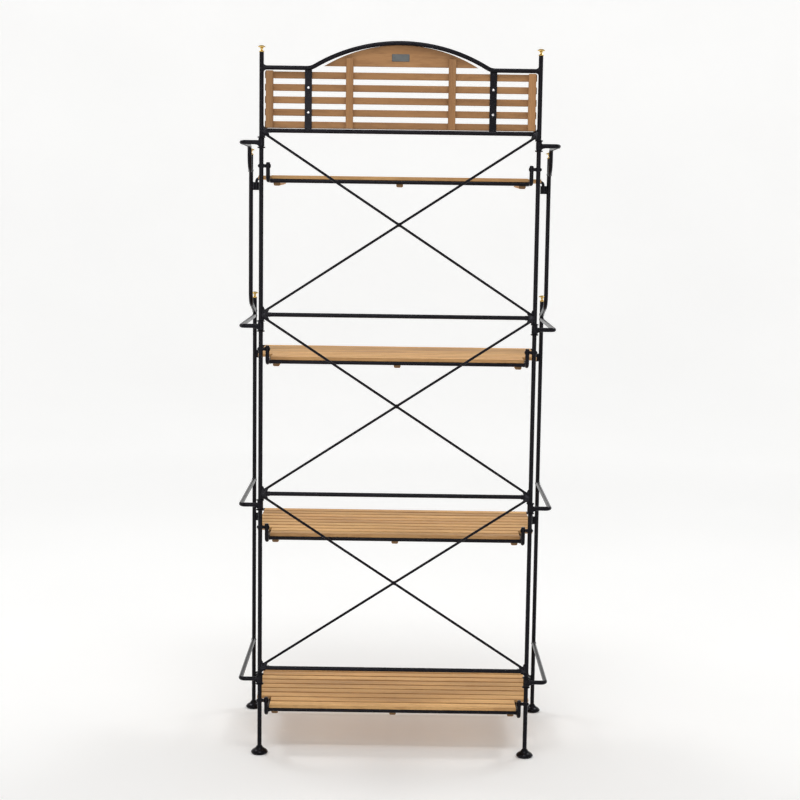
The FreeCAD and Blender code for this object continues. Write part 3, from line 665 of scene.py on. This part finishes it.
def makeCornerHeaps():
    # braced is +1 where a brace leaves upward only, -1 downward only, 0 both ways
    bm = bmesh.new()
    dice = random.Random(cornerMake["seed"])
    ends = (("crest_lower_rail", -1), ("back_rail_upper", 0),
            ("back_rail_middle", 0), ("back_rail_lower", 1))
    for rail, braced in ends:
        low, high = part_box(rail)
        middle = (low + high) / 2
        for side, way in (("left", -1), ("right", 1)):
            postLow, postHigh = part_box("back_post_" + side)
            inner = postLow.x if way > 0 else postHigh.x
            centre = Vector((inner, middle.y, middle.z))
            shift = Vector((dice.uniform(-9, 9), dice.uniform(-9, 9), dice.uniform(-9, 9)))
            ball = bmesh.ops.create_icosphere(bm, subdivisions=cornerMake["rounds"], radius=1)
            for vert in ball["verts"]:
                out = vert.co.normalized()
                turn = math.degrees(math.atan2(out.z, -way * out.x))
                reach = cornerReach(turn, braced)
                swell = 1 + cornerMake["ripple"] * noise.noise(out * cornerMake["rippleScale"] + shift)
                heap = Vector((out.x * reach, out.y * cornerMake["thick"], out.z * reach))
                vert.co = centre + heap * swell
    shapeFrom("frameCornerHeaps", bm, weldFinish, "frame")


def makeShelfWelds(shelf):
    bm = bmesh.new()
    bead = weldMake["shelfBead"]
    body = shelf + "_shelf"
    rearLow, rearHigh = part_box(body + "_rear_rod")
    hookLow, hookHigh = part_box(body + "_hook_rod")
    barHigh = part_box(body + "_side_bars")[1]
    barRadius = (rearHigh.y - rearLow.y) / 2
    hookRadius = (hookHigh.y - hookLow.y) / 2
    rear = (rearLow + rearHigh) / 2
    for way in (-1, 1):
        barX = way * (barHigh.x - barRadius)
        centre = Vector((barX - way * barRadius, rear.y, rear.z))
        addSeam(bm, ringSpots(centre, (1, 0, 0), barRadius), bead, True)
        for edge in (-1, 1):
            centre = Vector((barX + edge * barRadius * weldMake["hookSpread"],
                             (hookLow.y + hookHigh.y) / 2, hookHigh.z - hookRadius))
            addSeam(bm, ringSpots(centre, (1, 0, 0), hookRadius), bead, True)
    shapeFrom(shelf + "ShelfWeldSeams", bm, weldFinish, body)


makeFrameWelds()
makeCornerHeaps()
for shelf in shelfNames:
    makeShelfWelds(shelf)
print("weld seams run")


# iron and brass straight from the solids

subparts = {part["node"]: part["material_slot"] for part in frame["record"]["subparts"]}
for name, node in frame["nodes"].items():
    slot = subparts[name]
    if slot == "black_iron":
        dress(node, ironFinish)
    elif slot == "brass":
        dress(node, brassFinish)
    elif slot == "screw_steel":
        dress(node, steelFinish)
print("solids dressed")


# floor and light

stageMake = {"flat": 7.0, "rim": 12.0, "height": 6.0, "turns": 96, "steps": 14,
             "hazeScale": 0.9, "hazeIn": (0.3, 0.7),
             "pale": (0.86, 0.86, 0.855), "paler": (0.89, 0.89, 0.885),
             "rough": (0.62, 0.72), "shine": 0.2,
             "glowNear": 0.07, "glowFar": 0.36, "glowFrom": 0.4, "glowTo": 5.5}


def makeFloor():
    finish, tree, shader = newFinish("paleFloor")
    place = addNode(tree, "TexCoord").outputs["Object"]
    haze = noiseAt(tree, place, stageMake["hazeScale"], 3)
    stops = list(zip(stageMake["hazeIn"], (stageMake["pale"], stageMake["paler"])))
    plug(tree, colourStops(tree, haze, stops), shader.inputs["Base Color"])
    plug(tree, remap(tree, haze, *stageMake["hazeIn"], *stageMake["rough"]), shader.inputs["Roughness"])
    shader.inputs["Specular IOR Level"].default_value = stageMake["shine"]
    shader.inputs["Emission Color"].default_value = (1, 1, 1, 1)
    away = addNode(tree, "VectorMath", {"Vector": place}, operation="LENGTH").outputs["Value"]
    plug(tree, remap(tree, away, stageMake["glowFrom"], stageMake["glowTo"],
                     stageMake["glowNear"], stageMake["glowFar"]), shader.inputs["Emission Strength"])
    profile = [(0.0, 0.0), (stageMake["flat"], 0.0)]
    for step in range(1, stageMake["steps"] + 1):
        angle = math.radians(90 * step / stageMake["steps"])
        profile.append((stageMake["flat"] + (stageMake["rim"] - stageMake["flat"]) * math.sin(angle),
                        stageMake["height"] * (1 - math.cos(angle))))
    bm = bmesh.new()
    centre = bm.verts.new((0, 0, 0))
    rings = []
    for radius, height in profile[1:]:
        rings.append([bm.verts.new((radius * math.cos(2 * math.pi * turn / stageMake["turns"]),
                                    radius * math.sin(2 * math.pi * turn / stageMake["turns"]), height))
                      for turn in range(stageMake["turns"])])
    for index in range(stageMake["turns"]):
        bm.faces.new((centre, rings[0][index - 1], rings[0][index]))
    for first, second in zip(rings, rings[1:]):
        for index in range(stageMake["turns"]):
            bm.faces.new((first[index - 1], second[index - 1], second[index], first[index]))
    bmesh.ops.recalc_face_normals(bm, faces=bm.faces)
    mesh = bpy.data.meshes.new("paleFloor")
    bm.to_mesh(mesh)
    bm.free()
    for face in mesh.polygons:
        face.use_smooth = True
    floor = bpy.data.objects.new("paleFloor", mesh)
    bpy.context.scene.collection.objects.link(floor)
    dress(floor, finish)


lightMake = {"overhead": {"place": (0.0, -1.5, 4.2), "aim": (0, 0, 1.0), "size": (1.6, 0.8), "power": 35},
             "nearPanel": {"place": (-0.6, -5.2, 1.5), "aim": (0, 0, 1.2), "size": (1.3, 1.5), "power": 19},
             "leftKey": {"place": (-2.0, 1.5, 3.5), "aim": (0, 0, 0.8), "size": (0.9, 0.9), "power": 32},
             "rightKey": {"place": (2.0, 1.5, 3.5), "aim": (0, 0, 0.8), "size": (0.9, 0.9), "power": 32}}


roomMake = {"colour": (1.0, 0.995, 0.985, 1), "strength": 0.48}


def makeLights():
    for name, make in lightMake.items():
        lamp = bpy.data.lights.new(name, "AREA")
        lamp.shape = "RECTANGLE"
        lamp.size, lamp.size_y = make["size"]
        lamp.energy = make["power"]
        obj = bpy.data.objects.new(name, lamp)
        obj.location = make["place"]
        aim = Vector(make["aim"]) - Vector(make["place"])
        obj.rotation_euler = aim.to_track_quat("-Z", "Y").to_euler()
        bpy.context.scene.collection.objects.link(obj)
    world = bpy.data.worlds.new("softRoom")
    world.use_nodes = True
    ground = world.node_tree.nodes["Background"]
    ground.inputs["Color"].default_value = roomMake["colour"]
    ground.inputs["Strength"].default_value = roomMake["strength"]
    bpy.context.scene.world = world
    bpy.context.scene.view_settings.view_transform = "Standard"


makeFloor()
makeLights()


# camera where the photograph was taken from, fitted to the rack's own lines

cameraMake = {"eye": (0.0117, -4.5402, 1.5334), "yaw": -0.0006, "pitch": -0.1213, "roll": 0.0139,
              "focalPixels": 1596.2, "imageSize": 800, "sensor": 36.0}


def makeCamera():
    yaw, pitch, roll = cameraMake["yaw"], cameraMake["pitch"], cameraMake["roll"]
    ahead = Vector((math.sin(yaw) * math.cos(pitch), math.cos(yaw) * math.cos(pitch), math.sin(pitch)))
    level = Vector((math.cos(yaw), -math.sin(yaw), 0))
    above = level.cross(ahead)
    right = level * math.cos(roll) + above * math.sin(roll)
    up = above * math.cos(roll) - level * math.sin(roll)
    data = bpy.data.cameras.new("photoCamera")
    data.sensor_width = cameraMake["sensor"]
    data.lens = cameraMake["focalPixels"] / cameraMake["imageSize"] * cameraMake["sensor"]
    camera = bpy.data.objects.new("photoCamera", data)
    turn = Matrix((right, up, -ahead)).transposed().to_4x4()
    camera.matrix_world = Matrix.Translation(cameraMake["eye"]) @ turn
    bpy.context.scene.collection.objects.link(camera)
    bpy.context.scene.camera = camera


makeCamera()
print("floor, lights and camera set")
